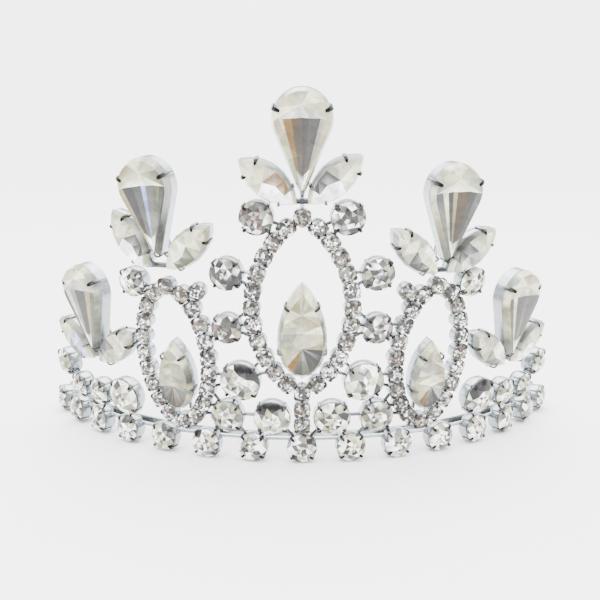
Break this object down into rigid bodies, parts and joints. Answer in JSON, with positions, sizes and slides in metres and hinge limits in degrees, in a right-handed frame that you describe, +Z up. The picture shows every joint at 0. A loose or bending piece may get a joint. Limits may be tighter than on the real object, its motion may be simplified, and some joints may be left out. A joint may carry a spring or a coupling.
{
  "type": "bridal tiara",
  "caption": "Rigid open tiara: a flared arc of claw-set crystals with pear-shaped peaks, leaf-shaped stones, chain loops round hanging drops, and a base row of round stones.",
  "frame": {"origin": "below the middle of the whole tiara, on the surface that its base row stands on", "axes": "+Z up; the front faces -Y and the open side of the arc, where the head goes, faces +Y; +X is to the right seen from the front"},
  "size_m": [0.1454, 0.071, 0.0896],
  "materials": {
    "crystal": "faceted clear crystal with a mirror foil back, which makes it opaque",
    "silver": "bright silver plating",
    "chain": "bright silver cups with small clear stones"
  },
  "bodies": {
    "root": {"base_row": "chain", "bay_inner_round_left": "crystal", "bay_inner_round_right": "crystal", "bay_outer_round_left": "crystal", "bay_outer_round_right": "crystal", "bridge_lower_round_left": "crystal", "bridge_lower_round_right": "crystal", "bridge_upper_round_left": "crystal", "bridge_upper_round_right": "crystal", "centre_drop_setting": "silver", "centre_drop_stone": "crystal", "centre_leaf_setting": "silver", "centre_leaf_stone_a": "crystal", "centre_leaf_stone_b": "crystal", "centre_loop_chain": "chain", "centre_pear_setting": "silver", "centre_pear_stone": "crystal", "end_crest_round_left": "crystal", "end_crest_round_right": "crystal", "far_left_leaf_setting": "silver", "far_left_leaf_stone_a": "crystal", "far_left_leaf_stone_b": "crystal", "far_left_pear_setting": "silver", "far_left_pear_stone": "crystal", "far_right_leaf_setting": "silver", "far_right_leaf_stone_a": "crystal", "far_right_leaf_stone_b": "crystal", "far_right_pear_setting": "silver", "far_right_pear_stone": "crystal", "flank_round_left": "crystal", "flank_round_right": "crystal", "gallery_end_round_left": "crystal", "gallery_end_round_right": "crystal", "gallery_inner_round_left": "crystal", "gallery_inner_round_right": "crystal", "gallery_middle_round_left": "crystal", "gallery_middle_round_right": "crystal", "gallery_outer_round_left": "crystal", "gallery_outer_round_right": "crystal", "left_drop_setting": "silver", "left_drop_stone": "crystal", "left_leaf_setting": "silver", "left_leaf_stone_a": "crystal", "left_leaf_stone_b": "crystal", "left_loop_chain": "chain", "left_pear_setting": "silver", "left_pear_stone": "crystal", "rear_band": "silver", "right_drop_setting": "silver", "right_drop_stone": "crystal", "right_leaf_setting": "silver", "right_leaf_stone_a": "crystal", "right_leaf_stone_b": "crystal", "right_loop_chain": "chain", "right_pear_setting": "silver", "right_pear_stone": "crystal", "shoulder_round_left": "crystal", "shoulder_round_right": "crystal"}
  },
  "joints": []
}
